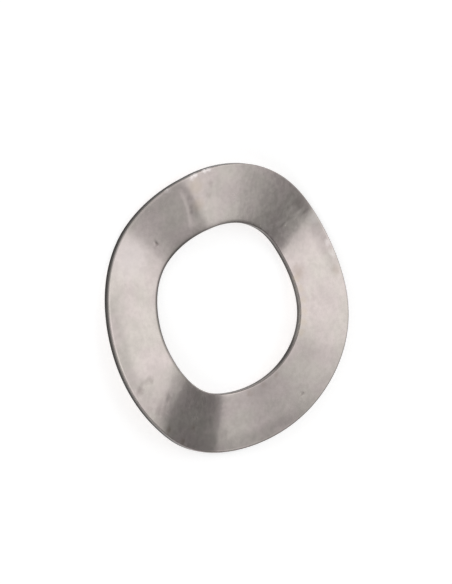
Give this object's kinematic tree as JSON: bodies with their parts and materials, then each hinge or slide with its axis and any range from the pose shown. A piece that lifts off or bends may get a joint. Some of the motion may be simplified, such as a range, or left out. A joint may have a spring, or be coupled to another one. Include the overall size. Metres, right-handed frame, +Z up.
{
  "type": "wave spring washer",
  "caption": "Thin flat spring-steel ring pressed into gentle waves round its hole, which spring flat under a nut or against a bearing to keep a joint tight.",
  "frame": {"origin": "on the hole's axis, at the level of the surface the troughs rest on", "axes": "+Z up along the hole's axis; +X points at one of the crests"},
  "size_m": [0.022, 0.022, 0.0019],
  "materials": {
    "spring_steel": "satin, tumbled, with faint press marks"
  },
  "bodies": {
    "root": {"wave_washer": "spring_steel"}
  },
  "joints": []
}
